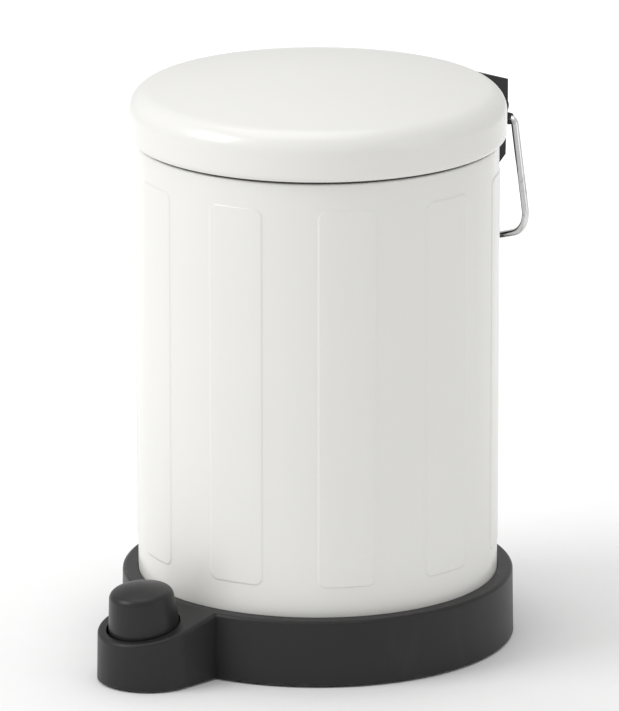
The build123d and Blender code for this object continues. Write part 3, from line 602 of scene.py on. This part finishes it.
# --- fasteners ---------------------------------------------------------------------------------------
COVER_RIVET_HEAD = 2 * MM
COVER_RIVET_RISE = 0.8 * MM
COVER_RIVET_SHANK = 1.2 * MM
LID_RIVET_HEAD = 3 * MM
LID_RIVET_TAIL = 2.6 * MM
LID_RIVET_RISE = 1 * MM
LID_RIVET_SHANK = 1.6 * MM
LID_RIVET_INNER = 7 * MM         # how far the two inner rivets are from the middle
SCREW_HEAD = 3.8 * MM
SCREW_RISE = 1.9 * MM
SCREW_SHANK = 2 * MM
SCREW_EDGE = 0.7 * MM
NUT_RADIUS = 3.4 * MM
NUT_RISE = 1.5 * MM
RECESS_REACH = 0.55              # of the head's radius
RECESS_FLOOR = 0.35              # of the head's height
RECESS_TAPER = 0.94
RECESS_ARM_ANGLE = radians(15)   # half of the angle under which the middle sees the end of an arm
SCREW_TURNS_SEED = 7
TAIL_EDGE = 0.3 * MM
SEAT_GAP = 0.03 * MM


def fastener_tree():
    """Geometry nodes that set one fastener on every point, each turned its own way about the given axis."""
    data = bpy.data.node_groups.new("set_fasteners", "GeometryNodeTree")
    kinds = {"Points": "Geometry", "Fastener": "Object", "Axis": "Vector", "Finish": "Material"}
    for name, kind in kinds.items():
        data.interface.new_socket(name, in_out="INPUT", socket_type="NodeSocket" + kind)
    data.interface.new_socket("Geometry", in_out="OUTPUT", socket_type="NodeSocketGeometry")
    tree = Tree(data)
    inputs = data.nodes.new("NodeGroupInput")
    given = {name: Wire(tree, inputs.outputs[name]) for name in kinds}
    fastener = tree.node("GeometryNodeObjectInfo", None, {"Object": given["Fastener"]}, "Geometry")
    turn = tree.node("FunctionNodeRandomValue", None, {"Seed": SCREW_TURNS_SEED}, 1) * 2 * pi
    rotation = tree.node("FunctionNodeAxisAngleToRotation", None, {"Axis": given["Axis"], "Angle": turn})
    placed = tree.node("GeometryNodeInstanceOnPoints", None,
                       {"Points": given["Points"], "Instance": fastener, "Rotation": rotation})
    real = tree.node("GeometryNodeRealizeInstances", None, {"Geometry": placed})
    painted = tree.node("GeometryNodeSetMaterial", None, {"Geometry": real, "Material": given["Finish"]})
    tree.node("NodeGroupOutput", None, {"Geometry": painted})
    return data


def rivet(head, rise, shank, length, tail):
    """Points and faces of a dome-headed rivet along Z, its head's seat at zero; both ends rise alike."""
    low = -length - rise
    outline = [(0, low), (tail - TAIL_EDGE, low), (tail, low + TAIL_EDGE), (tail, -length), (shank, -length),
               (shank, 0), (head, 0)]
    steps = 10
    for i in range(1, steps):
        turn = pi / 2 * i / steps
        outline.append((head * cos(turn), rise * sin(turn)))
    return turned(outline + [(0, rise)], evenly(32), closed=False)


def cross_screw(length):
    """Points and faces of a pan-head screw along Z with a cross recess, and the hexagon nut at its end."""
    arm = RECESS_REACH * SCREW_HEAD
    floor = RECESS_FLOOR * SCREW_RISE
    outline = [(0, -length - NUT_RISE), (NUT_RADIUS, -length - NUT_RISE), (NUT_RADIUS, -length),
               (SCREW_SHANK, -length), (SCREW_SHANK, 0), (SCREW_HEAD, 0)]
    outline += arc(SCREW_HEAD - SCREW_EDGE, SCREW_RISE - SCREW_EDGE, SCREW_EDGE, 0, 90, 5)
    outline += [(arm, SCREW_RISE), (arm * RECESS_TAPER, floor), (0, floor)]
    points, faces = turned(outline, evenly(24), closed=False)
    return [shaped(*point, arm, length) for point in points], faces


def shaped(x, y, z, arm, length):
    """A point of the round screw moved onto the recess's cross or the nut's hexagon."""
    radius = hypot(x, y)
    pull = 1
    if z > 0 and 0 < radius <= arm * 1.001:
        long = max(abs(x), abs(y)) / radius
        short = max(min(abs(x), abs(y)) / radius, 1e-6)
        narrow = arm * tan(RECESS_ARM_ANGLE)
        pull = max(min(arm / long, narrow / short), min(narrow / long, arm / short)) / arm
    elif z <= -length and abs(radius - NUT_RADIUS) < 1e-6:
        off_flat = round(degrees(atan2(y, x))) % 60 - 30
        pull = cos(radians(30)) / cos(radians(off_flat))
    return x * pull, y * pull, z


def facing(shape, towards):
    """The same points and faces, turned so that +Z looks towards the given direction."""
    points, faces = shape
    turn = Vector(towards).to_track_quat("Z", "X")
    return [turn @ Vector(point) for point in points], faces


def fasteners(node, shape, towards, places, tree):
    """Replaces a CAD node by fasteners that face one way, at these places."""
    points, faces = facing(shape, towards)
    mesh = bpy.data.meshes.new(node + "_one")
    mesh.from_pydata(points, [], faces)
    one = bpy.data.objects.new(node + "_one", mesh)
    bpy.context.scene.collection.objects.link(one)
    values = {"Fastener": one, "Axis": tuple(map(float, towards)), "Finish": finishes[slot_of[node]]}
    piece = grown(node + "_set", places, [], tree, values)
    bpy.data.objects.remove(one)
    return settled(piece, node, smooth=40)


def cover_rivets(tree):
    """Two columns of three rivets that hold the rod's cover on the body."""
    low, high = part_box("channel_rivets")
    seat = high.y - COVER_RIVET_RISE
    levels = (low.z + COVER_RIVET_HEAD, (low.z + high.z) / 2, high.z - COVER_RIVET_HEAD)
    places = [(side * (high.x - COVER_RIVET_HEAD), seat, level) for side in (-1, 1) for level in levels]
    length = seat - low.y - COVER_RIVET_RISE
    shape = rivet(COVER_RIVET_HEAD, COVER_RIVET_RISE, COVER_RIVET_SHANK, length, COVER_RIVET_HEAD)
    return fasteners("channel_rivets", shape, (0, 1, 0), places, tree)


def lid_rivets():
    """Four rivets through the lid's wall; each one's length follows the wall's curve."""
    low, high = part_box("lid_rivets")
    outer = high.x - LID_RIVET_HEAD
    level = (low.z + high.z) / 2
    points, faces = [], []
    for place in (-outer, -LID_RIVET_INNER, LID_RIVET_INNER, outer):
        seat = ((lid_high.x - LID_SHEET) ** 2 - (abs(place) + LID_RIVET_HEAD) ** 2) ** 0.5 - SEAT_GAP
        length = high.y - LID_RIVET_RISE - seat
        shape = rivet(LID_RIVET_HEAD, LID_RIVET_RISE, LID_RIVET_SHANK, length, LID_RIVET_TAIL)
        own, own_faces = facing(shape, (0, -1, 0))
        faces += [[len(points) + corner for corner in face] for face in own_faces]
        points += [(place + x, seat + y, level + z) for x, y, z in own]
    return finished("lid_rivets_set", points, faces, "lid_rivets", smooth=40)


def base_screws(tree):
    """Four screws from below that hold the body on the base, each with its nut."""
    low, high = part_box("base_screws")
    seat = low.z + SCREW_RISE
    places = [(x * (high.x - SCREW_HEAD), y * (high.y - SCREW_HEAD), seat) for x in (-1, 1) for y in (-1, 1)]
    shape = cross_screw(high.z - NUT_RISE - seat)
    return fasteners("base_screws", shape, (0, 0, -1), places, tree)


# --- carried-over nodes ------------------------------------------------------------------------------

def paint_carried_over():
    """Every CAD node gets its slot's finish."""
    for name, node in nodes.items():
        node.data.materials.clear()
        node.data.materials.append(finishes[slot_of[name]])


# --- floor, lights and camera ------------------------------------------------------------------------

def floor():
    """A plain pale floor, far larger than the view."""
    half = 6
    mesh = bpy.data.meshes.new("floor")
    corners = [(-half, -half, 0), (half, -half, 0), (half, half, 0), (-half, half, 0)]
    mesh.from_pydata(corners, [], [[0, 1, 2, 3]])
    plane = bpy.data.objects.new("floor", mesh)
    bpy.context.scene.collection.objects.link(plane)
    finish = Finish("pale_floor")
    grain = finish.noise(60, 4)
    colour = finish.mix(grain, (0.90, 0.90, 0.90), (0.92, 0.92, 0.92))
    mesh.materials.append(finish.shade(colour, 0.8 + 0.1 * grain, finish.bump(grain, 0.1 * MM, 0.2)))


VIEW_TURN = radians(45.5)        # how far the camera stands round from the front, towards the right
VIEW_RISE = radians(15.76)
VIEW_DISTANCE = 3.78
LENS = 411                       # long, in mm, on a sensor 36 mm high
SIDE_SHIFT = -0.0116
LOOK_AT = Vector((0, 0, 0.1329))
toward_camera = Vector((sin(VIEW_TURN), -cos(VIEW_TURN), 0))
camera_right = Vector((cos(VIEW_TURN), sin(VIEW_TURN), 0))
up = Vector((0, 0, 1))


def stand(name, data, place, aim):
    """Puts a camera or a light at a place, looking at its aim."""
    made = bpy.data.objects.new(name, data)
    bpy.context.scene.collection.objects.link(made)
    made.location = place
    made.rotation_euler = (aim - place).to_track_quat("-Z", "Y").to_euler()
    return made


def camera():
    """The view from the front right, slightly from above, through a long lens."""
    data = bpy.data.cameras.new("camera")
    data.lens = LENS
    data.sensor_fit = "VERTICAL"
    data.sensor_height = 36
    data.shift_x = SIDE_SHIFT
    data.clip_start = 0.1
    data.clip_end = 50
    place = LOOK_AT + VIEW_DISTANCE * (toward_camera * cos(VIEW_RISE) + up * sin(VIEW_RISE))
    bpy.context.scene.camera = stand("camera", data, place, LOOK_AT)


def softbox(name, right, near, height, size, power, aim=LOOK_AT, mirrored=True):
    """A square area light, placed by how far it is to the camera's right, nearer to it, and up.

    One that isn't mirrored doesn't show in shiny faces.
    """
    data = bpy.data.lights.new(name, "AREA")
    data.shape = "SQUARE"
    data.size = size
    data.energy = power
    made = stand(name, data, camera_right * right + toward_camera * near + up * height, aim)
    made.visible_glossy = mirrored


def studio():
    """A large key light from the left, a broad one overhead, a weak fill, and one for the floor behind."""
    softbox("key", -1.5, 0.5, 1.2, 0.9, 12)
    softbox("overhead", -0.2, 0.0, 1.9, 1.4, 8)
    softbox("fill", 1.8, 1.0, 0.6, 1.2, 2.5)
    softbox("backdrop", 0.0, -0.9, 1.2, 1.0, 12, toward_camera * -2.1, mirrored=False)
    world = bpy.data.worlds.new("studio")
    world.use_nodes = True
    background = world.node_tree.nodes["Background"].inputs
    background["Color"].default_value = (1, 1, 1, 1)
    background["Strength"].default_value = 0.64
    bpy.context.scene.world = world
    bpy.context.scene.view_settings.view_transform = "Standard"


paint_carried_over()
body()
lid()
bucket()
handle()
set_tree = fastener_tree()
cover_rivets(set_tree)
lid_rivets()
base_screws(set_tree)
floor()
camera()
studio()
